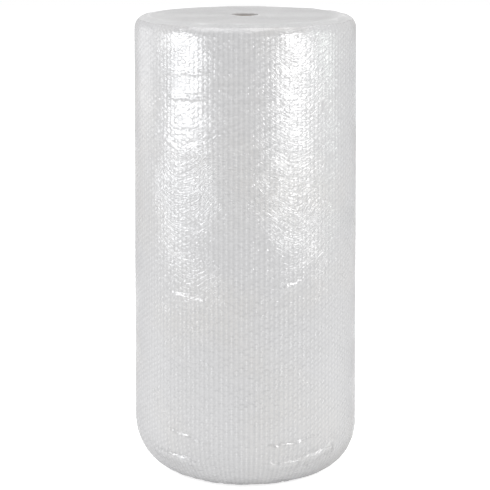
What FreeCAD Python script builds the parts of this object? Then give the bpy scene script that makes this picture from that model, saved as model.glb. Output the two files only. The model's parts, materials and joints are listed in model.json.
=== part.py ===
# Bubble wrap roll that stands on its end.
# A web of small-bubble film is wound round a paperboard core tube. The wound web is one soft body: its
# wall leans out a little towards the foot, both rims curl inwards, each end face shows the edges of the
# turns as one spiral, and the web's free end makes a full-height step in the wall.
# Millimetres, +Z up. The origin is on the core's axis, in the plane that the foot stands on.
import FreeCAD, Part
import math
import os

VEC = FreeCAD.Vector
UP = VEC(0, 0, 1)

# The web, and the body that its turns make
web_width = 1000.0          # height of the standing roll
web_thickness = 3.7         # radial growth of one turn, and height of the free end's step
wall_radius_foot = 249.0    # where the line of the wall meets the floor
wall_radius_head = 239.0    # where the line of the wall meets the top plane
free_end_angle = 62.0       # degrees about +Z from +X, where the step of the free end runs down the wall

# The soft rims, where the outer turns curl in over the end faces
foot_curl_depth = 80.0      # from the wall inwards, along the floor
foot_curl_height = 102.0    # from the floor up the wall
head_curl_depth = 27.0
head_curl_height = 27.0

# The edges of the turns on an end face: one spiral groove with a ridge between its turns
turns_per_ridge = 4         # each ridge stands for this many turns
groove_depth = 3.0
groove_overlap = 0.1        # share of the pitch by which each turn of the groove runs into the next
margin_at_core = 4.0        # plain ring left beside the core
margin_at_curl = 2.0        # plain ring left before the rim's curl starts

# The core
core_bore = 50.0
core_wall = 4.0
core_recess = 4.0           # the core stops this far below the head face
core_clearance = 0.2        # between the core and the innermost turn

core_radius = core_bore / 2 + core_wall
eye_radius = core_radius + core_clearance
ridge_pitch = turns_per_ridge * web_thickness
groove_width = (1 + groove_overlap) * ridge_pitch


def at(radius, height):
    """A point of a section drawn in the half plane y = 0, x > 0."""
    return VEC(radius, 0, height)


def wall_radius(height):
    """Radius of the wall at a height, on the first half turn."""
    return wall_radius_foot + (wall_radius_head - wall_radius_foot) * height / web_width


def arc_from(start, heading, end):
    """The arc that leaves start in the direction heading and reaches end."""
    chord = end - start
    aside = heading - chord * (heading.dot(chord) / chord.dot(chord))
    aside.normalize()
    bulge = chord.Length / 2 * math.tan(heading.getAngle(chord) / 2)
    return Part.Arc(start, start + chord * 0.5 + aside * bulge, end).toShape()


def curl(start, corner, end):
    """A rounded corner of two arcs that meet smoothly, each with one of the corner's sides as its tangent."""
    leave = corner - start
    arrive = end - corner
    leave.normalize()
    arrive.normalize()
    span = end - start
    spread = 2 * (1 - leave.dot(arrive))
    along = span.dot(leave + arrive)
    reach = (math.sqrt(along ** 2 + spread * span.dot(span)) - along) / spread
    meet = (start + leave * reach + end - arrive * reach) * 0.5
    return [arc_from(start, leave, meet), arc_from(end, arrive * -1, meet)]


def half_turn(section, axis_x, turn):
    """A section turned by half a revolution about the vertical axis through (axis_x, 0)."""
    return section.revolve(VEC(axis_x, 0, 0), UP * turn, 180)


def rim(flat, corner, wall):
    """One end of the body: a flat face, and the curl that leads from it to the wall.

    Its two half turns meet at +X and leave the free end's step at -X.
    """
    inner = eye_radius / 2
    edges = [
        Part.makeLine(at(inner, flat.z), flat),
        *curl(flat, corner, wall),
        Part.makeLine(wall, at(inner, wall.z)),
        Part.makeLine(at(inner, wall.z), at(inner, flat.z)),
    ]
    section = Part.Face(Part.Wire(edges))
    return half_turn(section, 0, 1).fuse(half_turn(section, web_thickness / 2, -1))


def wall_outline(height):
    """Outline of the body at a height, with the free end's step at -X."""
    radius = wall_radius(height)
    middle = web_thickness / 2
    seam = at(radius, height)
    step_top = at(-radius, height)
    step_foot = at(web_thickness - radius, height)
    first = Part.Arc(seam, VEC(0, radius, height), step_top).toShape()
    second = Part.Arc(step_foot, VEC(middle, middle - radius, height), seam).toShape()
    return Part.Wire([first, Part.makeLine(step_top, step_foot), second])


def wall_block(low, high):
    """The body between two heights, with its sides ruled between the two outlines."""
    outlines = [wall_outline(low), wall_outline(high)]
    sides = [Part.makeRuledSurface(*pair) for pair in zip(outlines[0].Edges, outlines[1].Edges)]
    shell = Part.makeShell([Part.Face(outline) for outline in outlines] + sides)
    shell.sewShape()
    return Part.makeSolid(shell)


def spiral_groove(flat_radius, face_height, inwards):
    """Cutters for V grooves of half turns that join into one spiral across the flat of an end face.

    inwards is -1 on the head face and 1 on the foot face: the way from the face into the web. Half
    turns on the side y > 0 are centred on the axis, and those on the side y < 0 half a pitch beside
    it, so each one ends where the next begins.
    """
    first = eye_radius + margin_at_core + groove_width / 2
    last = flat_radius - margin_at_curl - groove_width / 2
    count = int((last - first) // ridge_pitch) + 1
    bottom = face_height + inwards * groove_depth
    outside = face_height - inwards * groove_depth
    cutters = []
    for k in range(count):
        middle = first + k * ridge_pitch
        tip = at(middle, bottom)
        left = at(middle - groove_width, outside)
        right = at(middle + groove_width, outside)
        section = Part.Face(Part.makePolygon([left, right, tip, left]))
        cutters.append(half_turn(section, 0, 1))
        if k > 0:
            cutters.append(half_turn(section, ridge_pitch / 2, -1))
    return cutters


def wound_web():
    """The body of the turns, with the eye for the core and a spiral on both end faces."""
    foot_flat = at(wall_radius_foot - foot_curl_depth, 0)
    foot_wall = at(wall_radius(foot_curl_height), foot_curl_height)
    head_wall = at(wall_radius(web_width - head_curl_height), web_width - head_curl_height)
    head_flat = at(wall_radius_head - head_curl_depth, web_width)
    foot = rim(foot_flat, at(wall_radius_foot, 0), foot_wall)
    wall = wall_block(foot_wall.z, head_wall.z)
    head = rim(head_flat, at(wall_radius_head, web_width), head_wall)
    eye = Part.makeCylinder(eye_radius, 2 * web_width, VEC(0, 0, -web_width / 2), UP)
    head_groove = spiral_groove(head_flat.x, web_width, -1)
    foot_groove = spiral_groove(foot_flat.x, 0, 1)
    body = wall.fuse([foot, head]).cut(eye).cut(head_groove + foot_groove)
    # The step of the two half turns lies on the -X side, so it is turned to the free end's place.
    body.rotate(VEC(0, 0, 0), UP, free_end_angle - 180)
    return body.removeSplitter()


def core_tube():
    """The paperboard tube that the web is wound on."""
    length = web_width - core_recess
    tube = Part.makeCylinder(core_radius, length)
    return tube.cut(Part.makeCylinder(core_bore / 2, length))


def main():
    os.makedirs("parts", exist_ok=True)
    pieces = {"wound_bubble_web": wound_web(), "core_tube": core_tube()}
    for name, shape in pieces.items():
        solids = shape.Solids
        print(name, len(solids), "solid", shape.isValid(), round(shape.Volume), "mm3")
        (solids[0] if len(solids) == 1 else Part.makeCompound(solids)).exportStep(f"parts/{name}.step")


main()
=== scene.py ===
# Dresses the frame of a standing roll of bubble film: the outer turn with its bubbles and creases, the
# edges of the turns at both ends, the loose margin at the free end, the core tube, and a plain studio.
import json
import math
from collections import namedtuple

import bmesh
import bpy
import numpy as np
from bpy.props import FloatProperty, FloatVectorProperty, IntProperty, PointerProperty
from mathutils import Matrix, Vector


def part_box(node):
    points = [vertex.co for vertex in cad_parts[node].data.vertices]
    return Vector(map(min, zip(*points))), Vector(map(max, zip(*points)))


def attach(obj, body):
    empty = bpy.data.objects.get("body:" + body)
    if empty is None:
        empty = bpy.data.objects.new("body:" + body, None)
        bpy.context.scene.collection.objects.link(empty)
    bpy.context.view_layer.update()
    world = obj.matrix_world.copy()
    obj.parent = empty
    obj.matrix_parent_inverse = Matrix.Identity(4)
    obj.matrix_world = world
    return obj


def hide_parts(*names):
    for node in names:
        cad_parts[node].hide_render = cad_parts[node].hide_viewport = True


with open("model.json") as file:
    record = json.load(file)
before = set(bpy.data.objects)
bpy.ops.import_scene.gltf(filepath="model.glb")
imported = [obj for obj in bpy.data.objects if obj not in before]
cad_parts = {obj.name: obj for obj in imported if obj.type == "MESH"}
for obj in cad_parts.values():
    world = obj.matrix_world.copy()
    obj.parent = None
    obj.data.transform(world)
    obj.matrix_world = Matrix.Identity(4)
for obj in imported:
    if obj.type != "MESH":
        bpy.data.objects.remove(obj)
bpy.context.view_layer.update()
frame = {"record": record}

bl_info = {
    "name": "Bubble Film Roll",
    "version": (1, 0, 0),
    "blender": (4, 5, 0),
    "location": "3D Viewport > Sidebar > Film Roll",
    "description": "Builds a standing roll of bubble film round a core tube",
    "category": "Mesh",
}

WEB_NODE = "wound_bubble_web"
CORE_NODE = "core_tube"
WEB_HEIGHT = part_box(WEB_NODE)[1][2]
CORE_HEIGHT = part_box(CORE_NODE)[1][2]
CORE_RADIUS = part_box(CORE_NODE)[1][0]
BORE_RADIUS = frame["record"]["mounts"][0]["dims"]["r_mm"] / 1000
FULL_TURN = 2 * math.pi
NOISE_CELLS = 256
FOOT_CURL_POINTS = 40
HEAD_CURL_POINTS = 20

# How far apart the bubbles lie, round the roll and up the film, and how they differ: their fullness, the
# share of burst ones and how full those look, how much they tilt, and how far they wander from the
# lattice, in bubbles.
PITCH_ACROSS = 0.0105
PITCH_UP = 0.0111
FULLNESS = (0.55, 1.1)
BURST_SHARE = 0.06
BURST_FULLNESS = 0.2
TILT = 0.22
WANDER = 0.07

# The column of bubbles that faces the camera; there the turn below lies in step with the outer one.
FRONT_COLUMN = 82.0

# The slack film hangs in swags, counted in bubbles: one lies lowest at SWAG_MIDDLE.
SWAG_COLUMNS = 24
SWAG_MIDDLE = 70.0
SWAG_SAG = 2.6
SWAG_WANDER = 5.0

# A lattice of bubbles in the film's look: what it gains on the bubble map, across and up, for each column
# past FRONT_COLUMN, how far it is moved up, in bubbles, and how strongly its rings of painted shade show.
# Each lattice also carries painted glints. The first is the outer turn's and the second the turn below it.
Lattice = namedtuple("Lattice", "lag_across lag_up shift_up strength")
LATTICES = (
    Lattice(0.0, 0.0, 0.0, 0.65),
    Lattice(0.015, -0.012, 0.5, 0.30),
)

# How a painted glint on a bubble is drawn in to an upright dash: weights of the squares across and up.
DASH_WEIGHTS = (9.0, 1.8)

# Refraction of the film's gloss, which stands for many bright layers.
GLOSS_IOR = 2.6

# Depths of the fine relief in the film's gloss.
CRINKLE_DEPTH = 0.0016
THIN_CREASE_DEPTH = 0.00036
PROUD_BUBBLE_DEPTH = 0.0006
GLITTER_DEPTH = 0.0003

# How far apart the bubbles show in a turn's edge, what sets one turn's noise apart from the next's, how
# thick an end face is, and how near two of its points are merged.
LOBE_SPACING = 0.0107
TURN_OFFSET = 13.7
END_FACE_DEPTH = 0.012
END_FACE_MERGE = 0.00002

# Soft lumps of the film: their depth, the length and height of one, how far their rows climb along the way
# round, and a seed.
Lump = namedtuple("Lump", "depth long tall climb seed")
LUMPS = (
    Lump(0.0008, 0.160, 0.210, 0.00, 11),
    Lump(0.0008, 0.048, 0.040, 0.25, 12),
    Lump(0.0007, 0.021, 0.017, 0.30, 14),
)

# Sets of creases: the band of the wall that they lie in, their share of the crease rise, their angle to
# the horizontal in degrees, the length and width of one, and a seed.
CreaseSet = namedtuple("CreaseSet", "band share heading length width seed")
CREASES = (
    CreaseSet("slanting", 1.0, 17, 0.055, 0.011, 21),
    CreaseSet("slanting", 0.8, 32, 0.035, 0.013, 31),
    CreaseSet("level", 1.0, 2, 0.080, 0.012, 41),
    CreaseSet("low", 1.0, -8, 0.040, 0.014, 51),
)

# A buckle is one crease that stands out. middle and half_reach are degrees round the axis, the rest metres:
# its height at the middle, how far it climbs from there to one end, how tall it is above and below its
# crest, and its rise.
Buckle = namedtuple("Buckle", "middle half_reach height climb above below rise")
BUCKLES = (
    Buckle(239, 14, 0.119, -0.011, 0.0040, 0.016, 0.0024),
    Buckle(290, 10, 0.107, 0.001, 0.0040, 0.016, 0.0021),
    Buckle(303, 8, 0.112, 0.005, 0.0040, 0.016, 0.0020),
    Buckle(231, 17, 0.071, -0.008, 0.0040, 0.016, 0.0054),
    Buckle(289, 11, 0.066, 0.001, 0.0040, 0.016, 0.0046),
    Buckle(310, 12, 0.076, 0.010, 0.0040, 0.016, 0.0044),
    Buckle(60, 70, 0.100, 0.010, 0.0050, 0.0050, 0.0022),
    Buckle(150, 40, 0.082, -0.008, 0.0050, 0.0050, 0.0022),
    Buckle(230, 7, 0.750, -0.017, 0.0045, 0.0045, 0.0014),
    Buckle(240, 14, 0.898, 0.003, 0.0036, 0.0036, 0.0013),
    Buckle(240, 13, 0.847, 0.003, 0.0036, 0.0036, 0.0013),
    Buckle(240, 12, 0.426, -0.006, 0.0040, 0.0080, 0.0015),
    Buckle(294, 7, 0.456, 0.009, 0.0040, 0.0080, 0.0014),
)

WHITE = (1.0, 1.0, 1.0)

# An upright softbox that faces the roll: its azimuth in degrees from the camera's side, to the right, the
# height of its middle, its width and height, its share of the lamps' radiance, and its colour.
Softbox = namedtuple("Softbox", "name azimuth height width tall share colour")
SOFTBOXES = (
    Softbox("softbox_left", -61, 0.98, 0.84, 0.78, 1.00, (0.97, 0.985, 1.0)),
    Softbox("softbox_rim", -118, 0.95, 0.90, 0.70, 0.22, WHITE),
    Softbox("softbox_right", 48, 1.01, 0.64, 0.72, 1.27, WHITE),
    Softbox("softbox_side", 80, 1.04, 0.42, 0.36, 1.10, (0.93, 1.0, 0.95)),
)


def length_value(name, description, default):
    return FloatProperty(name=name, description=description, default=default, unit="LENGTH")


def angle_value(name, description, degrees):
    return FloatProperty(name=name, description=description, default=math.radians(degrees), subtype="ANGLE")


def colour_value(name, description, default):
    return FloatVectorProperty(name=name, description=description, default=default, subtype="COLOR", size=3)


class RollShape(bpy.types.PropertyGroup):
    """The body that the turns make."""
    turn_thickness: length_value("Turn thickness", "Radial growth of one turn", 0.0037)
    wall_radius_foot: length_value(
        "Wall radius at the foot", "Where the line of the wall meets the floor", 0.249)
    wall_radius_head: length_value(
        "Wall radius at the head", "Where the line of the wall meets the top plane", 0.239)
    foot_curl_depth: length_value(
        "Foot curl depth", "How far the foot's curl reaches in along the floor", 0.080)
    foot_curl_height: length_value(
        "Foot curl height", "How far the foot's curl reaches up the wall", 0.102)
    foot_slump: FloatProperty(
        name="Foot slump", description="Share by which the curl is larger on its slumped side",
        default=0.08)
    slump_angle: angle_value("Slump side", "Direction of the slumped side about the roll's axis", 195)
    head_curl: length_value("Head curl", "Radius of the curl at the head's rim", 0.027)
    web_edge: angle_value("Web edge", "How far up the head's curl the outer turn's face reaches", 48)
    free_end_angle: angle_value("Free end", "Direction of the free end about the roll's axis", 62)


class BubbleSizes(bpy.types.PropertyGroup):
    """The outer turn's bubbles, in staggered upright columns, and its creases."""
    columns: IntProperty(name="Columns", description="Columns of bubbles round the roll", default=144)
    rows: IntProperty(name="Rows", description="Bubbles in one column", default=92)
    radius: length_value("Bubble radius", "Radius of one bubble", 0.0050)
    rise: length_value("Bubble rise", "Height of a full bubble over the film round it", 0.0004)
    steps: IntProperty(name="Steps", description="Faces along each side of one bubble's cell", default=5)
    sectors: IntProperty(name="Sectors", description="Pieces that the outer turn is made in", default=4)
    crease_rise: length_value("Crease rise", "Height of the film's creases", 0.0011)


class TurnEdges(bpy.types.PropertyGroup):
    """The spiral of turn edges on the two end faces."""
    eye_gap: length_value("Eye gap", "Between the core and the innermost turn", 0.0007)
    spokes: IntProperty(name="Spokes", description="Faces round an end face", default=360)
    shoulder_rows: IntProperty(
        name="Shoulder rows", description="Rows of faces between the outer turn's edge and the head's flat",
        default=12)
    groove: length_value("Groove", "Depth between two turn edges", 0.0022)


class Finishes(bpy.types.PropertyGroup):
    """Colours as they are seen."""
    film_light: colour_value("Film, thick", "Film over a full bubble", (0.490, 0.486, 0.495))
    # Painted shade: the dark rings at the bubbles' rims and the seams between the columns. On the free end's
    # margin it is a plain random tone.
    film_dark: colour_value("Film, rims", "Film at the rims of the bubbles", (0.392, 0.389, 0.398))
    # Painted highlight: light dashes on the bubbles' tops, standing for light that they catch.
    film_painted_glint: colour_value(
        "Film, bubble tops", "Light caught by the tops of the bubbles", (0.730, 0.730, 0.740))
    film_warm: colour_value("Film, warm cast", "Faint warm cast in patches", (0.498, 0.482, 0.467))
    edges_light: colour_value("Turn edges, light", "Edges of the turns", (0.740, 0.737, 0.740))
    edges_dark: colour_value("Turn edges, dark", "Edges of the turns in streaks", (0.660, 0.657, 0.660))
    # Painted shade: the turn edges on the head's rim get a darker copy of their colour, to offset the
    # stronger light that falls on the rim.
    shoulder_shade: FloatProperty(
        name="Shoulder tone", description="Share of the turn edges' colour on the head's rim", default=0.87,
        subtype="FACTOR")
    eye_shade: colour_value("Eye", "The innermost turn in the shade of the eye", (0.38, 0.35, 0.32))
    # The paperboard's own brown, made darker as painted shade for the inside of the tube.
    board: colour_value("Board", "Paperboard of the core", (0.20, 0.15, 0.11))


class StageSettings(bpy.types.PropertyGroup):
    """The camera as in the photograph, and the lamps."""
    camera_distance: length_value("Camera distance", "From the roll's axis, along the floor", 3.802)
    camera_height: length_value("Camera height", "Above the floor", 1.340)
    camera_tilt: angle_value("Camera tilt", "Below the horizon", 12.558)
    lens: FloatProperty(name="Lens", description="Focal length in millimetres", default=129.6)
    lamp_radiance: FloatProperty(
        name="Lamp radiance", description="Brightness of the softboxes' faces", default=3.4)
    fill: FloatProperty(name="Fill", description="Brightness of the plain surroundings", default=0.63)


def shape():
    return bpy.context.scene.roll_shape


def bubbles():
    return bpy.context.scene.roll_bubbles


def cloud(across, up, cell_across, cell_up, seed, around=None):
    """Smooth noise from 0 to 1 with cells of the given size. around, if given, is the length at which
    it repeats along across."""
    table = np.random.default_rng(seed).random((NOISE_CELLS, NOISE_CELLS))
    wide = round(around / cell_across) if around else NOISE_CELLS
    i = np.asarray(across) / cell_across
    j = np.asarray(up) / cell_up
    i0 = np.floor(i).astype(int)
    j0 = np.floor(j).astype(int)
    fi = i - i0
    fj = j - j0
    fi = fi * fi * (3 - 2 * fi)
    fj = fj * fj * (3 - 2 * fj)
    left = i0 % wide
    right = (i0 + 1) % wide
    bottom = j0 % NOISE_CELLS
    top = (j0 + 1) % NOISE_CELLS
    low = table[bottom, left] * (1 - fi) + table[bottom, right] * fi
    high = table[top, left] * (1 - fi) + table[top, right] * fi
    return low * (1 - fj) + high * fj


def ramp(value, start, end):
    """0 before start, 1 after end, with a smooth rise between."""
    share = np.clip((value - start) / (end - start), 0, 1)
    return share * share * (3 - 2 * share)


def ridges(across, up, heading, length, width, seed):
    """Creases of that length and width that run at the angle heading to the horizontal, from 0 to 1. Each
    wanders by most of its width over a few times its length."""
    along = across * math.cos(heading) + up * math.sin(heading)
    beside = up * math.cos(heading) - across * math.sin(heading)
    beside = beside + 0.8 * width * cloud(along, beside, 2.5 * length, 4 * width, seed + 1)
    crest = 1 - np.abs(2 * cloud(along, beside, length, width, seed) - 1)
    return crest ** 2


def new_piece(name, bm, node):
    """A mesh object made from bm that rides on the roll's one body and stands for a node."""
    mesh = bpy.data.meshes.new(name)
    bm.to_mesh(mesh)
    bm.free()
    mesh.polygons.foreach_set("use_smooth", np.ones(len(mesh.polygons), dtype=bool))
    piece = bpy.data.objects.new(name, mesh)
    bpy.context.scene.collection.objects.link(piece)
    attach(piece, "root")
    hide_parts(node)
    return piece


def read_points(mesh):
    flat = np.empty(3 * len(mesh.vertices))
    mesh.vertices.foreach_get("co", flat)
    return flat.reshape(-1, 3)


def write_points(mesh, points):
    mesh.vertices.foreach_set("co", points.astype(np.float32).ravel())
    mesh.update()


def add_point_value(mesh, name, values):
    layer = mesh.attributes.new(name, "FLOAT", "POINT")
    layer.data.foreach_set("value", values.astype(np.float32))


def add_bubble_map(mesh, across, up):
    """A UV map that counts bubbles: one unit is one column across and one bubble up."""
    corner_points = np.empty(len(mesh.loops), dtype=np.int32)
    mesh.loops.foreach_get("vertex_index", corner_points)
    layer = mesh.uv_layers.new(name="bubble_count")
    layer.data.foreach_set("uv", np.column_stack((across, up))[corner_points].astype(np.float32).ravel())


def unwound(turn_share):
    """How far the film lies inside the outermost radius, from the share of the last turn that is done."""
    return shape().turn_thickness * (1 - turn_share)


def head_curl_arc(turn_share, start, end):
    """Radii and heights along the head's curl, from one angle to another: 0 is at the wall and a right
    angle at the flat."""
    size = shape()
    rim_height = WEB_HEIGHT - size.head_curl
    lean = (size.wall_radius_head - size.wall_radius_foot) / WEB_HEIGHT
    centre = size.wall_radius_foot + lean * rim_height - size.head_curl - unwound(turn_share)
    angles = np.linspace(start, end, HEAD_CURL_POINTS)
    return centre + size.head_curl * np.cos(angles), rim_height + size.head_curl * np.sin(angles)


def wall_profile(azimuth, turn_share, shares):
    """Radii, heights and length of the outer turn's section at an azimuth, at shares of its length from
    the foot's flat to its edge on the head's curl."""
    size = shape()
    slump = 1 + size.foot_slump * math.cos(azimuth - size.slump_angle)
    depth = size.foot_curl_depth * slump
    height = size.foot_curl_height * slump
    lean = (size.wall_radius_head - size.wall_radius_foot) / WEB_HEIGHT
    quarter = np.linspace(0, math.pi / 2, FOOT_CURL_POINTS)
    wall = size.wall_radius_foot + lean * height - unwound(turn_share)
    curl_radii, curl_heights = head_curl_arc(turn_share, 0, size.web_edge)
    radii = np.append(wall - depth + depth * np.sin(quarter), curl_radii)
    heights = np.append(height - height * np.cos(quarter), curl_heights)
    lengths = np.append(0, np.cumsum(np.hypot(np.diff(radii), np.diff(heights))))
    at = shares * lengths[-1]
    return np.interp(at, lengths, radii), np.interp(at, lengths, heights), lengths[-1]


def shoulder_profile(turn_share, rows):
    """Radii and heights of the rest of the head's curl, from the outer turn's edge to the flat."""
    angles = np.linspace(shape().web_edge, math.pi / 2, rows + 1)[1:]
    start = angles[0] - (angles[1] - angles[0])
    arc_radii, arc_heights = head_curl_arc(turn_share, start, math.pi / 2)
    spread = np.linspace(start, math.pi / 2, len(arc_radii))
    return np.interp(angles, spread, arc_radii), np.interp(angles, spread, arc_heights)


def bubble_domes(column_place, row_place):
    """Height share of the bubble at each place, with its own fullness and a slight tilt of its own."""
    size = bubbles()
    column = np.clip(np.floor(column_place), 0, size.columns - 1).astype(int)
    staggered = row_place + 0.5 * (column % 2)
    row = np.clip(np.floor(staggered), 0, size.rows + 1).astype(int)
    rng = np.random.default_rng(7)
    fullness = rng.uniform(*FULLNESS, (size.columns, size.rows + 2))
    fullness[rng.random(fullness.shape) < BURST_SHARE] = BURST_FULLNESS
    tilt_across = rng.normal(0, TILT, fullness.shape)
    tilt_up = rng.normal(0, TILT, fullness.shape)
    wander = rng.uniform(-WANDER, WANDER, (2,) + fullness.shape)
    across = (column_place - column - 0.5 + wander[0, column, row]) * PITCH_ACROSS / size.radius
    up = (staggered - row - 0.5 + wander[1, column, row]) * PITCH_UP / size.radius
    dome = np.clip(1 - across ** 2 - up ** 2, 0, 1)
    lean = 1 + tilt_across[column, row] * across + tilt_up[column, row] * up
    return dome ** 0.8 * fullness[column, row] * lean


def buckle_relief(azimuth, height, arc):
    """The creases that stand out, each along its own slightly uneven line."""
    relief = 0 * height
    uneven = 0.006 * (cloud(arc, 0 * arc, 0.018, 1.0, 61) - 0.5)
    for buckle in BUCKLES:
        from_middle = (np.degrees(azimuth) - buckle.middle + 180) % 360 - 180
        reach = 1 - ramp(np.abs(from_middle) / buckle.half_reach, 0.7, 1.0)
        line = buckle.height + buckle.climb * from_middle / buckle.half_reach + uneven
        tall = np.where(height > line, buckle.above, buckle.below)
        relief = relief + buckle.rise * reach * np.exp(-((height - line) / tall) ** 2)
    return relief


def film_relief(azimuth, height, arc, length):
    """How far the outer turn's film stands off its smooth shape, without the bubbles. arc is the way
    round the roll and length the way up the film, both in metres."""
    relief = 0 * height
    for lump in LUMPS:
        swell = cloud(arc, length + lump.climb * arc, lump.long, lump.tall, lump.seed)
        relief = relief + lump.depth * (swell - 0.5)
    # The creases slant where the film hangs slack, lie level above that, and are few and low below it.
    patch = cloud(arc, length, 0.13, 0.17, 13)
    bands = {
        "slanting": ramp(height, 0.32, 0.50) * (1 - ramp(height, 0.74, 0.86)) * ramp(patch, 0.25, 0.6),
        "level": ramp(height, 0.62, 0.74) * (0.35 + 0.65 * ramp(patch, 0.35, 0.7)),
        "low": 0.25 * (1 - ramp(height, 0.30, 0.45)),
    }
    for crease in CREASES:
        rise = bubbles().crease_rise * crease.share * bands[crease.band]
        heading = math.radians(crease.heading)
        relief = relief + rise * ridges(arc, length, heading, crease.length, crease.width, crease.seed)
    # The film lies tighter at the roll's two sides.
    relief = relief * (0.35 + 0.65 * np.sin(azimuth) ** 2)
    # Pleats stand where the film is gathered in under the foot.
    gather = 1 - ramp(height, 0.0, 0.030)
    pleats = 0.0016 * gather * (ridges(arc, length, math.radians(90), 0.06, 0.018, 71) - 0.4)
    return relief + buckle_relief(azimuth, height, arc) + pleats


def slackness(height, arc, length):
    """How strongly the film is crinkled: most where it hangs slack in the upper half, and again where it
    is gathered in towards the foot, in patches."""
    hanging = 0.30 + 0.70 * ramp(height, 0.38, 0.66) - 0.35 * ramp(height, 0.70, 0.86)
    gathered = 0.7 * (1 - ramp(height, 0.05, 0.13))
    patch = 0.45 + 0.75 * ramp(cloud(arc, length, 0.10, 0.12, 15), 0.3, 0.7)
    return (hanging + gathered) * patch


def round_axis(azimuth, radius, height):
    return np.column_stack((radius * np.cos(azimuth), radius * np.sin(azimuth), height))


def place_verts(bm, points):
    for vert, point in zip(bm.verts, points):
        vert.co = point


def open_edges(bm):
    return [edge for edge in bm.edges if edge.is_boundary]


def unit_grid(steps_across, steps_up):
    """A flat grid in the unit square: x is the way round the roll and y the way along a section."""
    bm = bmesh.new()
    bmesh.ops.create_grid(bm, x_segments=steps_across, y_segments=steps_up, size=0.5,
                          matrix=Matrix.Translation((0.5, 0.5, 0)))
    return bm


def drop_skirt(bm, offset):
    """Marks the sheet's rim sharp, and hangs a skirt on it that ends offset from it."""
    rim = open_edges(bm)
    for edge in rim:
        edge.smooth = False
    skirt = bmesh.ops.extrude_edge_only(bm, edges=rim)["geom"]
    low = [item for item in skirt if isinstance(item, bmesh.types.BMVert)]
    bmesh.ops.translate(bm, verts=low, vec=offset)


def grid_box(steps_across, steps_up):
    """A closed block in the unit square: a grid on top, a skirt down to z = -1, and a coarse back."""
    bm = unit_grid(steps_across, steps_up)
    drop_skirt(bm, (0, 0, -1))
    near = 0.25 / steps_across
    sides = [edge for edge in open_edges(bm)
             if all(v.co.x < near for v in edge.verts) or all(v.co.x > 1 - near for v in edge.verts)]
    bmesh.ops.bridge_loops(bm, edges=sides)
    bmesh.ops.holes_fill(bm, edges=open_edges(bm), sides=0)
    bmesh.ops.recalc_face_normals(bm, faces=bm.faces)
    return bm


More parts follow.
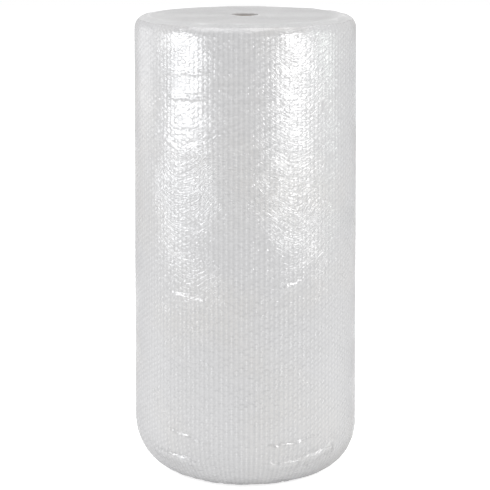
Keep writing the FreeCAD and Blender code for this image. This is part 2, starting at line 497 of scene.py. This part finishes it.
class ROLL_OT_outer_turn(bpy.types.Operator):
    """Builds the outer turn of film, with its bubbles, creases and curled foot, in sectors"""
    bl_idname = "roll.outer_turn"
    bl_label = "Outer Turn"

    names = ("outer_turn_left", "outer_turn_front", "outer_turn_right", "outer_turn_back")
    skirt_depth = 0.006
    edge_step = 0.0003
    edge_waver = 0.0024
    rim_groove = 0.0007

    def execute(self, context):
        size = bubbles()
        film_rows = size.rows * size.steps
        steps_across = size.columns // size.sectors * size.steps
        steps_up = film_rows + context.scene.roll_edges.shoulder_rows
        shoulder_shade = context.scene.roll_finishes.shoulder_shade
        for sector in range(size.sectors):
            block = grid_box(steps_across, steps_up)
            piece = new_piece(self.names[sector % len(self.names)], block, WEB_NODE)
            piece.data.materials.append(film_material())
            # Painted shade: the faces past the film's edge get a darker copy of the turn edges' material.
            piece.data.materials.append(edge_material("turn_edges_shoulder_shaded", shoulder_shade))
            self.mark_shoulder(piece.data, film_rows / steps_up)
            self.lay_round(piece.data, sector, steps_across, film_rows, steps_up)
        return {"FINISHED"}

    def mark_shoulder(self, mesh, film_share):
        """Gives the faces above the film's edge the look of turn edges, while mesh is still flat."""
        centres = np.empty(3 * len(mesh.polygons))
        mesh.polygons.foreach_get("center", centres)
        past_edge = centres.reshape(-1, 3)[:, 1] > film_share
        mesh.polygons.foreach_set("material_index", past_edge.astype(np.int32))

    def sections(self, sector, steps_across, film_rows, shoulder_rows):
        """Radii and heights of the section at each line of the sector, and the film's length there."""
        shares = np.linspace(0, 1, film_rows + 1)
        radii = []
        heights = []
        lengths = []
        for line in range(steps_across + 1):
            done = (sector + line / steps_across) / bubbles().sectors
            azimuth = shape().free_end_angle + FULL_TURN * done
            film_radii, film_heights, length = wall_profile(azimuth, done, shares)
            rest_radii, rest_heights = shoulder_profile(done, shoulder_rows)
            radii.append(np.append(film_radii, rest_radii))
            heights.append(np.append(film_heights, rest_heights))
            lengths.append(length)
        return np.array(radii), np.array(heights), np.array(lengths)

    def lay_round(self, mesh, sector, steps_across, film_rows, steps_up):
        """Lays the flat block round the roll, with its relief, its map and its point values."""
        size = bubbles()
        places = read_points(mesh)
        line = np.rint(places[:, 0] * steps_across).astype(int)
        step = np.rint(places[:, 1] * steps_up).astype(int)
        below = places[:, 2] < -0.5
        past_edge = step > film_rows
        shoulder_rows = steps_up - film_rows
        radii, heights, lengths = self.sections(sector, steps_across, film_rows, shoulder_rows)
        out_radial = np.gradient(heights, axis=1)
        out_up = -np.gradient(radii, axis=1)
        norm = np.hypot(out_radial, out_up)
        turn_share = (sector + places[:, 0]) / size.sectors
        azimuth = shape().free_end_angle + FULL_TURN * turn_share
        share_up = step / film_rows
        height = heights[line, step]
        arc = FULL_TURN * turn_share * shape().wall_radius_head
        length = share_up * lengths[line]
        column_place = turn_share * size.columns
        row_place = share_up * size.rows
        # The bubbles are crushed under the roll and flat along the film's edge.
        full = ramp(height, -0.05, 0.06) * (1 - ramp(share_up, 0.975, 0.997))
        relief = size.rise * full * bubble_domes(column_place, row_place)
        relief = relief + film_relief(azimuth, height, arc, length)
        # Past the outer turn's edge the shoulder shows the rims of the turns below it.
        rims = np.where((step - film_rows) % 2 == 1, -self.rim_groove, 0.0)
        rims = rims * (0.3 + cloud(arc, length, 0.04, 0.004, 82))
        calm = 1 - ramp((step - film_rows) / shoulder_rows, 0.3, 1.0)
        relief = np.where(past_edge, calm * (relief - self.edge_step + rims), relief)
        relief = np.where(below, relief - self.skirt_depth, relief)
        waver = self.edge_waver * (cloud(arc, 0 * arc, 0.045, 1.0, 81) - 0.5)
        radius = radii[line, step] + relief * (out_radial / norm)[line, step]
        height = height + relief * (out_up / norm)[line, step] + waver * ramp(share_up, 0.97, 1.0)
        height = np.clip(height, 0.0003, WEB_HEIGHT)
        write_points(mesh, round_axis(azimuth, radius, height))
        add_bubble_map(mesh, column_place, row_place)
        add_point_value(mesh, "bubble_share", np.where(below | past_edge, 0, full))
        slack = slackness(height, arc, length)
        add_point_value(mesh, "slack_share", np.where(past_edge, 0.2 * slack, slack))
        jagged = 0.012 * (cloud(arc, length, 0.020, 0.05, 83) - 0.5)
        add_point_value(mesh, "dull_share", ramp(height + jagged, 0.988, 0.997))


def close_under(bm, depth, heading):
    """Gives an end face its sides and a coarse back, depth behind it along heading."""
    drop_skirt(bm, Vector(heading) * depth)
    bmesh.ops.bridge_loops(bm, edges=open_edges(bm))
    bmesh.ops.recalc_face_normals(bm, faces=bm.faces)


def end_face(name, section_radii, section_heights, heading, seed):
    """One end face of the roll: a spiral of turn edges from the eye outwards, along a section that is
    given by its radii and heights. heading is +1 for a face that looks up and -1 for one that looks down."""
    size = shape()
    edges = bpy.context.scene.roll_edges
    pitch = size.turn_thickness
    lengths = np.append(0, np.cumsum(np.hypot(np.diff(section_radii), np.diff(section_heights))))
    turns = int(lengths[-1] / pitch) - 1
    rings = 2 * (turns + 1)
    bm = unit_grid(edges.spokes, rings)
    for vert in bm.verts:
        done = vert.co.x
        ring = round(vert.co.y * rings) - 2
        along = max(0.0, pitch * (ring / 2 + done))
        vert.co = (done, along, 0)
    flat = np.array([vert.co for vert in bm.verts])
    done = flat[:, 0]
    along = flat[:, 1]
    azimuth = size.free_end_angle + FULL_TURN * done
    radius = np.interp(along, lengths, section_radii)
    height = np.interp(along, lengths, section_heights)
    out_up = np.interp(along, lengths, np.gradient(section_radii, lengths))
    out_radial = -np.interp(along, lengths, np.gradient(section_heights, lengths))
    phase = along / pitch - done
    valley = 0.5 - 0.5 * np.cos(FULL_TURN * phase)
    arc = azimuth * radius
    fade = ramp(along, 0.0005, 0.003) * (1 - ramp(along, lengths[-1] - 0.026, lengths[-1] - 0.015))
    shift = 9 * cloud(along, along * 0, pitch, 1.0, seed)
    lobes = 0.5 + 0.5 * np.sin(FULL_TURN * arc / LOBE_SPACING + shift)
    sag = cloud(azimuth * 0.3 + np.round(phase) * TURN_OFFSET, along, 0.19, 0.05, seed + 1)
    groove = edges.groove * (0.55 + 0.45 * lobes) * (0.6 + 0.8 * sag)
    uneven = 0.0011 * cloud(azimuth, along, FULL_TURN / 7, 0.020, seed + 2, FULL_TURN)
    uneven = uneven + 0.0006 * cloud(azimuth, along, FULL_TURN / 24, 0.009, seed + 3, FULL_TURN)
    sink = fade * (groove * valley + uneven)
    radius = radius - sink * out_radial
    height = height - heading * sink * np.abs(out_up)
    place_verts(bm, round_axis(azimuth, radius, height))
    bmesh.ops.remove_doubles(bm, verts=bm.verts, dist=END_FACE_MERGE)
    close_under(bm, END_FACE_DEPTH, (0, 0, -heading))
    piece = new_piece(name, bm, WEB_NODE)
    piece.data.materials.append(edge_material("turn_edges", 1.0))
    return piece


class ROLL_OT_end_faces(bpy.types.Operator):
    """Builds the spiral of turn edges on the head and under the foot"""
    bl_idname = "roll.end_faces"
    bl_label = "Turn Edges"

    tucked = 0.012

    def execute(self, context):
        size = shape()
        eye = CORE_RADIUS + context.scene.roll_edges.eye_gap
        head_flat = head_curl_arc(1.0, 0, math.pi / 2)[0][-1]
        radii = np.array((eye, head_flat - 0.006, head_flat, head_flat + 0.006, head_flat + self.tucked))
        drops = np.array((0.0, 0.0, 0.0002, 0.0022, 0.0055))
        end_face("head_turn_edges", radii, WEB_HEIGHT - drops, 1, 101)
        foot_flat = size.wall_radius_foot - size.foot_curl_depth
        radii = np.array((eye, foot_flat - 0.015, foot_flat, foot_flat + self.tucked))
        rises = np.array((0.0, 0.0, 0.0010, 0.0032))
        end_face("foot_turn_edges", radii, rises, -1, 201)
        return {"FINISHED"}


class ROLL_OT_free_end(bpy.types.Operator):
    """Builds the flat margin of film past the last bubbles at the free end"""
    bl_idname = "roll.free_end"
    bl_label = "Free End"

    width = 0.013
    lift = 0.0022
    thickness = 0.00025
    steps_across = 6
    steps_up = 240

    def execute(self, context):
        size = shape()
        bm = unit_grid(self.steps_across, self.steps_up)
        self.hang(bm)
        bmesh.ops.recalc_face_normals(bm, faces=bm.faces)
        bm.faces.ensure_lookup_table()
        middle = bm.faces[len(bm.faces) // 2]
        outwards = Vector((math.cos(size.free_end_angle), math.sin(size.free_end_angle), 0))
        if middle.normal.dot(outwards) < 0:
            bmesh.ops.reverse_faces(bm, faces=bm.faces)
        bmesh.ops.solidify(bm, geom=bm.faces[:], thickness=self.thickness)
        piece = new_piece("free_end_margin", bm, WEB_NODE)
        piece.data.materials.append(margin_material())
        return {"FINISHED"}

    def hang(self, bm):
        """Lays the flat sheet from the outer turn's last line onto the turn below, lifted here and there."""
        size = shape()
        shares = np.linspace(0, 1, self.steps_up + 1)
        radii, heights, length = wall_profile(size.free_end_angle, 1.0, shares)
        places = np.array([vert.co for vert in bm.verts])
        out = places[:, 0]
        step = np.rint(places[:, 1] * self.steps_up).astype(int)
        up = places[:, 1] * length
        reach = self.width * (0.75 + 0.5 * cloud(up, up * 0, 0.07, 1.0, 91))
        lifted = self.lift * cloud(up, up * 0, 0.045, 1.0, 92) ** 2
        drop = (size.turn_thickness - 0.0006) * ramp(out, 0.0, 0.8)
        under_foot = 1 - ramp(heights[step], 0.0, 0.012)
        radius = radii[step] + 0.0002 - drop + lifted * out ** 2 - 0.001 * under_foot
        azimuth = size.free_end_angle + out * reach / size.wall_radius_head
        height = np.maximum(heights[step], 0.0008)
        place_verts(bm, round_axis(azimuth, radius, height))


class ROLL_OT_core(bpy.types.Operator):
    """Builds the paperboard core tube with its rounded mouths"""
    bl_idname = "roll.core"
    bl_label = "Core Tube"

    rounding = 0.0005
    spokes = 96
    crease_angle = math.radians(50)
    merge_distance = 0.00001

    def execute(self, context):
        r = self.rounding
        section = [
            (BORE_RADIUS, r), (BORE_RADIUS + r, 0), (CORE_RADIUS - r, 0), (CORE_RADIUS, r),
            (CORE_RADIUS, CORE_HEIGHT - r), (CORE_RADIUS - r, CORE_HEIGHT),
            (BORE_RADIUS + r, CORE_HEIGHT), (BORE_RADIUS, CORE_HEIGHT - r),
        ]
        bm = bmesh.new()
        verts = [bm.verts.new((radius, 0, height)) for radius, height in section]
        outline = [bm.edges.new((verts[k - 1], verts[k])) for k in range(len(verts))]
        bmesh.ops.spin(bm, geom=verts + outline, cent=(0, 0, 0), axis=(0, 0, 1), angle=FULL_TURN,
                       steps=self.spokes, use_merge=True)
        bmesh.ops.remove_doubles(bm, verts=bm.verts, dist=self.merge_distance)
        bmesh.ops.recalc_face_normals(bm, faces=bm.faces)
        for edge in bm.edges:
            edge.smooth = edge.calc_face_angle(0) < self.crease_angle
        piece = new_piece("core_tube_board", bm, CORE_NODE)
        piece.data.materials.append(board_material())
        return {"FINISHED"}


class NodeTreeMaker:
    """Adds nodes to a material or world. What goes into a node is a number, a colour or the output socket
    of another node."""

    def __init__(self, tree):
        self.tree = tree
        tree.nodes.clear()

    def feed(self, node, entries):
        """Gives a node's inputs, by name or number, what goes into them."""
        for key, value in entries.items():
            if isinstance(value, bpy.types.NodeSocket):
                self.tree.links.new(value, node.inputs[key])
            else:
                node.inputs[key].default_value = value

    def add(self, kind, entries=None, **settings):
        node = self.tree.nodes.new(kind)
        for name, value in settings.items():
            setattr(node, name, value)
        self.feed(node, entries or {})
        return node

    def math(self, operation, *values, clamp=False):
        return self.add("ShaderNodeMath", dict(enumerate(values)), operation=operation,
                        use_clamp=clamp).outputs[0]

    def attribute(self, name):
        return self.add("ShaderNodeAttribute", attribute_name=name).outputs["Fac"]

    def split(self, vector):
        return self.add("ShaderNodeSeparateXYZ", {"Vector": vector}).outputs

    def noise(self, source, scale, detail=2.0, stretch=None, roughness=0.5, turn=0.0):
        """Noise on coordinates. stretch makes it longer along each axis, and turn turns those axes about
        the third."""
        if stretch:
            entries = {"Vector": source, "Scale": stretch, "Rotation": (0.0, 0.0, turn)}
            source = self.add("ShaderNodeMapping", entries, vector_type="TEXTURE").outputs["Vector"]
        entries = {"Vector": source, "Scale": scale, "Detail": detail, "Roughness": roughness}
        return self.add("ShaderNodeTexNoise", entries).outputs["Fac"]

    def remap(self, source, low, high, to_low, to_high):
        entries = {"Value": source, "From Min": low, "From Max": high, "To Min": to_low, "To Max": to_high}
        return self.add("ShaderNodeMapRange", entries, interpolation_type="SMOOTHSTEP").outputs["Result"]

    def mix_colour(self, factor, first, second):
        """The colour first where factor is 0, and second where it is 1."""
        entries = {0: factor}
        for key, value in ((6, first), (7, second)):
            entries[key] = value if isinstance(value, bpy.types.NodeSocket) else (*value, 1)
        return self.add("ShaderNodeMix", entries, data_type="RGBA").outputs[2]

    def bump(self, height, distance, strength=1.0, under=None):
        entries = {"Height": height, "Distance": distance, "Strength": strength}
        if under is not None:
            entries["Normal"] = under
        return self.add("ShaderNodeBump", entries).outputs["Normal"]


def new_material(name):
    material = bpy.data.materials.new(name)
    material.use_nodes = True
    maker = NodeTreeMaker(material.node_tree)
    shader = maker.add("ShaderNodeBsdfPrincipled")
    maker.add("ShaderNodeOutputMaterial", {"Surface": shader.outputs["BSDF"]})
    return material, maker, shader


# The nearest bubble: how far off its centre is, in bubble radii, the same with the bubble drawn in to an
# upright dash, the squared distance from the middle of its column, and a random number of its own.
Nearest = namedtuple("Nearest", "reach dash beside chance")


def nearest_bubble(maker, bubble_map, lattice):
    """The outputs that tell of the nearest bubble of a lattice of staggered columns."""
    counts = maker.split(bubble_map)
    from_front = maker.math("SUBTRACT", counts["X"], FRONT_COLUMN)
    across = maker.math("ADD", counts["X"], maker.math("MULTIPLY", from_front, lattice.lag_across))
    gained_up = maker.math("MULTIPLY_ADD", from_front, lattice.lag_up, lattice.shift_up)
    column = maker.math("FLOOR", across)
    stagger = maker.math("MULTIPLY", maker.math("FLOORED_MODULO", column, 2.0), 0.5)
    up = maker.math("ADD", maker.math("ADD", counts["Y"], gained_up), stagger)
    squares = []
    for place, pitch in ((across, PITCH_ACROSS), (up, PITCH_UP)):
        centred = maker.math("SUBTRACT", maker.math("FRACT", place), 0.5)
        scaled = maker.math("MULTIPLY", centred, pitch / bubbles().radius)
        squares.append(maker.math("MULTIPLY", scaled, scaled))
    distances = []
    for weights in ((1.0, 1.0), DASH_WEIGHTS):
        weighted = [maker.math("MULTIPLY", square, weight) for square, weight in zip(squares, weights)]
        distances.append(maker.math("SQRT", maker.math("ADD", *weighted)))
    cell = maker.add("ShaderNodeCombineXYZ", {"X": column, "Y": maker.math("FLOOR", up)})
    chance = maker.add("ShaderNodeTexWhiteNoise", {"Vector": cell.outputs["Vector"]}, noise_dimensions="2D")
    return Nearest(*distances, squares[0], chance.outputs["Value"])


def film_colour(maker, place, share, nearest):
    """The film's colour, with painted shade and painted highlights: darker rims round the bubbles and seams
    between the columns, fainter rings of the turn below, all painted shade, and light dashes painted on the
    bubbles' tops as highlights. share is 0 where the bubbles are flat."""
    colours = bpy.context.scene.roll_finishes
    warm = maker.remap(maker.noise(place["Object"], 5.0, 3.0), 0.45, 0.68, 0.0, 0.8)
    light = maker.mix_colour(warm, colours.film_light, colours.film_warm)
    rings = []
    # Painted shade: darker rings at the bubbles' rims, fainter for the turn below.
    for bubble, lattice in zip(nearest, LATTICES):
        inner = maker.remap(bubble.reach, 0.60, 0.92, 0.0, lattice.strength)
        outer = maker.remap(bubble.reach, 0.98, 1.12, 1.0, 0.35)
        rings.append(maker.math("MULTIPLY", inner, outer))
    ringed = maker.math("MULTIPLY", maker.math("ADD", *rings, clamp=True), share)
    uneven = maker.remap(maker.noise(place["UV"], 0.9, 3.0), 0.3, 0.7, 0.35, 1.0)
    clouded = maker.math("MULTIPLY", ringed, uneven)
    # Painted shade: darker seams between the columns.
    seams = maker.math("MULTIPLY", maker.remap(nearest[0].beside, 0.35, 1.05, 0.0, 0.62), uneven)
    colour = maker.mix_colour(maker.math("ADD", clouded, seams, clamp=True), light, colours.film_dark)
    # Painted highlight: light dashes on the bubbles' tops, for both lattices.
    for bubble in nearest:
        top = maker.remap(bubble.dash, 0.25, 0.80, 1.0, 0.0)
        caught = maker.math("MULTIPLY", maker.math("MULTIPLY", top, bubble.chance), share)
        colour = maker.mix_colour(maker.math("MULTIPLY", caught, uneven), colour, colours.film_painted_glint)
    return colour


def draped_map(maker, bubble_map):
    """The bubble map, moved up and down so that what is drawn on it hangs in swags."""
    wander = maker.math("MULTIPLY", maker.noise(bubble_map, 0.11, 1.0), SWAG_WANDER)
    from_middle = maker.math("SUBTRACT", maker.split(bubble_map)["X"], SWAG_MIDDLE)
    phase = maker.math("MULTIPLY", from_middle, FULL_TURN / SWAG_COLUMNS)
    sag = maker.math("MULTIPLY", maker.math("COSINE", phase), SWAG_SAG)
    shift = maker.add("ShaderNodeCombineXYZ", {"Y": maker.math("ADD", wander, sag)})
    moved = maker.add("ShaderNodeVectorMath", {0: bubble_map, 1: shift.outputs["Vector"]}, operation="ADD")
    return moved.outputs["Vector"]


def thin_creases(maker, source, stretch, turn):
    """Long thin creases at an angle: narrow crests along the middle level of a stretched noise."""
    field = maker.noise(source, 1.0, 1.0, stretch, 0.5, turn)
    off = maker.math("ABSOLUTE", maker.math("SUBTRACT", field, 0.5))
    return maker.remap(off, 0.0, 0.07, 1.0, 0.0)


def film_relief_normals(maker, place, share, bubble):
    """Normals of the film's gloss and of the film under it: crinkles and thin creases where the film is
    slack, and on the gloss a few bubbles that stand out more than the rest."""
    slack = maker.attribute("slack_share")
    draped = draped_map(maker, place["UV"])
    crinkles = maker.math("MULTIPLY", maker.noise(draped, 1.0, 2.0, (3.0, 0.36, 1.0), 0.6), slack)
    film = maker.bump(crinkles, CRINKLE_DEPTH)
    gloss = film
    for stretch, turn in (((4.5, 0.50, 1.0), 0), ((4.5, 1.1, 1.0), 17), ((4.5, 1.3, 1.0), -17)):
        crease = maker.math("MULTIPLY", thin_creases(maker, draped, stretch, math.radians(turn)), slack)
        gloss = maker.bump(crease, THIN_CREASE_DEPTH, under=gloss)
    proud = maker.math("POWER", bubble.chance, 2.0)
    standing = maker.math("MULTIPLY", maker.remap(bubble.reach, 0.66, 1.04, 1.0, 0.0), proud)
    gloss = maker.bump(maker.math("MULTIPLY", standing, share), PROUD_BUBBLE_DEPTH, under=gloss)
    return maker.bump(maker.noise(place["UV"], 3.6, 0.0), GLITTER_DEPTH, under=gloss), film


def film_material():
    """Clear film over many turns of bubbles: milky grey under a gloss with fine crinkles."""
    if "bubble_film_outer" in bpy.data.materials:
        return bpy.data.materials["bubble_film_outer"]
    material, maker, shader = new_material("bubble_film_outer")
    place = maker.add("ShaderNodeTexCoord").outputs
    share = maker.attribute("bubble_share")
    dull = maker.attribute("dull_share")
    nearest = [nearest_bubble(maker, place["UV"], lattice) for lattice in LATTICES]
    gloss_normal, film_normal = film_relief_normals(maker, place, share, nearest[0])
    # Seen edge on, the domes hide the gaps between them and the gloss is broken up.
    facing = maker.add("ShaderNodeLayerWeight", {"Blend": 0.5}).outputs["Facing"]
    gloss = maker.remap(facing, 0.35, 0.90, 1.0, 0.12)
    maker.feed(shader, {
        "Base Color": film_colour(maker, place, share, nearest),
        "Specular IOR Level": maker.math("MULTIPLY", gloss, 0.7),
        "Roughness": maker.remap(maker.noise(place["Object"], 14.0, 3.0), 0.3, 0.7, 0.22, 0.36),
        "Normal": film_normal,
        "Coat Weight": maker.math("MULTIPLY", gloss, maker.remap(dull, 0.0, 1.0, 1.0, 0.62)),
        "Coat Roughness": maker.remap(dull, 0.0, 1.0, 0.06, 0.55),
        "Coat Normal": gloss_normal,
        "Coat IOR": GLOSS_IOR,
    })
    return material


def edge_material(name, share):
    """Cut edges of many turns: duller and a little more broken than the film's face. share scales the
    colour; below 1 it makes a darker copy as painted shade."""
    if name in bpy.data.materials:
        return bpy.data.materials[name]
    colours = bpy.context.scene.roll_finishes
    dark = [share * value for value in colours.edges_dark]
    light = [share * value for value in colours.edges_light]
    material, maker, shader = new_material(name)
    place = maker.add("ShaderNodeTexCoord").outputs
    patches = maker.noise(place["Object"], 9.0, 4.0)
    fleck = maker.noise(place["Object"], 160.0, 3.0)
    tone = maker.remap(maker.math("ADD", patches, fleck), 0.75, 1.25, 0.0, 1.0)
    colour = maker.mix_colour(tone, dark, light)
    # The wall of the eye is in deep shade beside the core.
    parts = maker.split(place["Object"])
    squares = [maker.math("MULTIPLY", parts[axis], parts[axis]) for axis in ("X", "Y")]
    eye = (CORE_RADIUS + bpy.context.scene.roll_edges.eye_gap) ** 2
    near = maker.remap(maker.math("ADD", *squares), 1.01 * eye, 1.03 * eye, 1.0, 0.0)
    low = maker.remap(parts["Z"], CORE_HEIGHT, CORE_HEIGHT + 0.0014, 1.0, 0.0)
    maker.feed(shader, {
        "Base Color": maker.mix_colour(maker.math("MULTIPLY", near, low), colour, colours.eye_shade),
        "Roughness": maker.remap(fleck, 0.3, 0.7, 0.28, 0.5),
        "Normal": maker.bump(fleck, 0.0008, 0.6),
        "Specular IOR Level": 0.3,
    })
    return material


def margin_material():
    """The single flat layer at the free end: clearer and glossier."""
    colours = bpy.context.scene.roll_finishes
    material, maker, shader = new_material("free_margin_film")
    patches = maker.noise(maker.add("ShaderNodeTexCoord").outputs["Object"], 40.0, 3.0)
    tone = maker.remap(patches, 0.35, 0.65, 0.2, 0.9)
    maker.feed(shader, {
        "Base Color": maker.mix_colour(tone, colours.film_dark, colours.film_light),
        "Roughness": maker.remap(patches, 0.3, 0.7, 0.10, 0.25),
        "Normal": maker.bump(patches, 0.0012, 0.5),
    })
    return material


def board_material():
    """Brown paperboard wound in a spiral, with fibres and the seams of its plies."""
    # The board colour is its brown darkened as painted shade for the tube's inside.
    board = bpy.context.scene.roll_finishes.board
    dark = [0.62 * value for value in board]
    light = [1.35 * value for value in board]
    material, maker, shader = new_material("core_paperboard")
    place = maker.add("ShaderNodeTexCoord").outputs
    parts = maker.split(place["Object"])
    turn = maker.math("DIVIDE", maker.math("ARCTAN2", parts["Y"], parts["X"]), FULL_TURN)
    climb = maker.math("DIVIDE", parts["Z"], 0.11)
    seam = maker.remap(maker.math("FRACT", maker.math("ADD", turn, climb)), 0.0, 0.018, 0.0, 1.0)
    fibres = maker.noise(place["Object"], 220.0, 4.0, (1.0, 1.0, 4.0))
    blotch = maker.noise(place["Object"], 30.0, 3.0)
    tone = maker.remap(maker.math("MULTIPLY", fibres, blotch), 0.12, 0.40, 0.0, 1.0)
    maker.feed(shader, {
        "Base Color": maker.mix_colour(seam, dark, maker.mix_colour(tone, dark, light)),
        "Roughness": maker.remap(fibres, 0.3, 0.7, 0.7, 0.9),
        "Normal": maker.bump(fibres, 0.0004, 0.4, maker.bump(seam, 0.0004, 0.7)),
        "Specular IOR Level": 0.08,
    })
    return material


def seen_directly(maker):
    """1 for rays from the camera, off a gloss or through glass, and 0 for the light's own bounces."""
    path = maker.add("ShaderNodeLightPath").outputs
    gloss = maker.math("MAXIMUM", path["Is Camera Ray"], path["Is Glossy Ray"])
    return maker.math("MAXIMUM", gloss, path["Is Transmission Ray"])


class ROLL_OT_stage(bpy.types.Operator):
    """Sets the camera, the lamps, the plain floor and the white surroundings"""
    bl_idname = "roll.stage"
    bl_label = "Stage"

    floor_size = 24.0
    floor_drop = 0.0005
    floor_white = 0.8
    floor_glow = 0.7
    lamp_distance = 1.55
    overhead_height = 3.0
    overhead_size = 3.0
    overhead_radiance = 0.8

    def execute(self, context):
        self.camera(context)
        self.floor(context)
        self.surroundings(context)
        self.lamps(context)
        context.scene.view_settings.view_transform = "Standard"
        return {"FINISHED"}

    def camera(self, context):
        stage = context.scene.roll_stage
        data = bpy.data.cameras.new("camera")
        data.lens = stage.lens
        camera = bpy.data.objects.new("camera", data)
        camera.location = (0, -stage.camera_distance, stage.camera_height)
        camera.rotation_euler = (math.pi / 2 - stage.camera_tilt, 0, 0)
        context.scene.collection.objects.link(camera)
        context.scene.camera = camera

    def lamps(self, context):
        radiance = context.scene.roll_stage.lamp_radiance
        for box in SOFTBOXES:
            lamp = self.area_lamp(context, box.name, box.width, box.tall, box.share * radiance, box.colour)
            turn = math.radians(box.azimuth)
            aside = self.lamp_distance * math.sin(turn)
            lamp.location = (aside, -self.lamp_distance * math.cos(turn), box.height)
            lamp.rotation_euler = (math.pi / 2, 0, turn)
        size = self.overhead_size
        overhead = self.area_lamp(context, "softbox_overhead", size, size, self.overhead_radiance, WHITE)
        overhead.location = (0, 0, self.overhead_height)

    def area_lamp(self, context, name, width, tall, radiance, colour):
        """A softbox that the camera doesn't see, whose face has that radiance."""
        data = bpy.data.lights.new(name, "AREA")
        data.shape = "RECTANGLE"
        data.size = width
        data.size_y = tall
        data.energy = radiance * math.pi * width * tall
        data.color = colour
        lamp = bpy.data.objects.new(name, data)
        lamp.visible_camera = False
        context.scene.collection.objects.link(lamp)
        return lamp

    def floor(self, context):
        bm = bmesh.new()
        bmesh.ops.create_grid(bm, x_segments=1, y_segments=1, size=self.floor_size / 2)
        mesh = bpy.data.meshes.new("floor")
        bm.to_mesh(mesh)
        bm.free()
        mesh.transform(Matrix.Translation((0, 0, -self.floor_drop)))
        floor = bpy.data.objects.new("floor", mesh)
        context.scene.collection.objects.link(floor)
        material = bpy.data.materials.new("floor_white")
        material.use_nodes = True
        maker = NodeTreeMaker(material.node_tree)
        matt = maker.add("ShaderNodeBsdfDiffuse", {"Color": (*[self.floor_white] * 3, 1)})
        seen = maker.math("MULTIPLY", seen_directly(maker), self.floor_glow)
        glow = maker.add("ShaderNodeEmission", {"Strength": seen})
        both = maker.add("ShaderNodeAddShader", {0: matt.outputs["BSDF"], 1: glow.outputs["Emission"]})
        maker.add("ShaderNodeOutputMaterial", {"Surface": both.outputs["Shader"]})
        mesh.materials.append(material)

    def surroundings(self, context):
        world = bpy.data.worlds.new("surroundings")
        world.use_nodes = True
        context.scene.world = world
        maker = NodeTreeMaker(world.node_tree)
        fill = context.scene.roll_stage.fill
        strength = maker.math("ADD", maker.math("MULTIPLY", seen_directly(maker), 1 - fill), fill)
        sky = maker.add("ShaderNodeBackground", {"Color": (*WHITE, 1), "Strength": strength})
        maker.add("ShaderNodeOutputWorld", {"Surface": sky.outputs["Background"]})


class ROLL_PT_panel(bpy.types.Panel):
    """The roll's pieces and sizes in the sidebar"""
    bl_label = "Film Roll"
    bl_idname = "ROLL_PT_panel"
    bl_space_type = "VIEW_3D"
    bl_region_type = "UI"
    bl_category = "Film Roll"

    def draw(self, context):
        for group_name in GROUPS:
            group = getattr(context.scene, group_name)
            box = self.layout.box()
            for name in group.bl_rna.properties.keys():
                if name not in ("rna_type", "name"):
                    box.prop(group, name)
        for operator in OPERATORS:
            self.layout.operator(operator.bl_idname)


OPERATORS = (ROLL_OT_outer_turn, ROLL_OT_end_faces, ROLL_OT_free_end, ROLL_OT_core, ROLL_OT_stage)
GROUPS = {
    "roll_shape": RollShape,
    "roll_bubbles": BubbleSizes,
    "roll_edges": TurnEdges,
    "roll_finishes": Finishes,
    "roll_stage": StageSettings,
}


def register():
    for cls in (*GROUPS.values(), *OPERATORS, ROLL_PT_panel):
        bpy.utils.register_class(cls)
    for name, cls in GROUPS.items():
        setattr(bpy.types.Scene, name, PointerProperty(type=cls))


def unregister():
    for name in GROUPS:
        delattr(bpy.types.Scene, name)
    for cls in (ROLL_PT_panel, *OPERATORS, *GROUPS.values()):
        bpy.utils.unregister_class(cls)


def main():
    register()
    bpy.ops.roll.stage()
    bpy.ops.roll.outer_turn()
    bpy.ops.roll.end_faces()
    bpy.ops.roll.free_end()
    bpy.ops.roll.core()


if __name__ == "__main__":
    main()
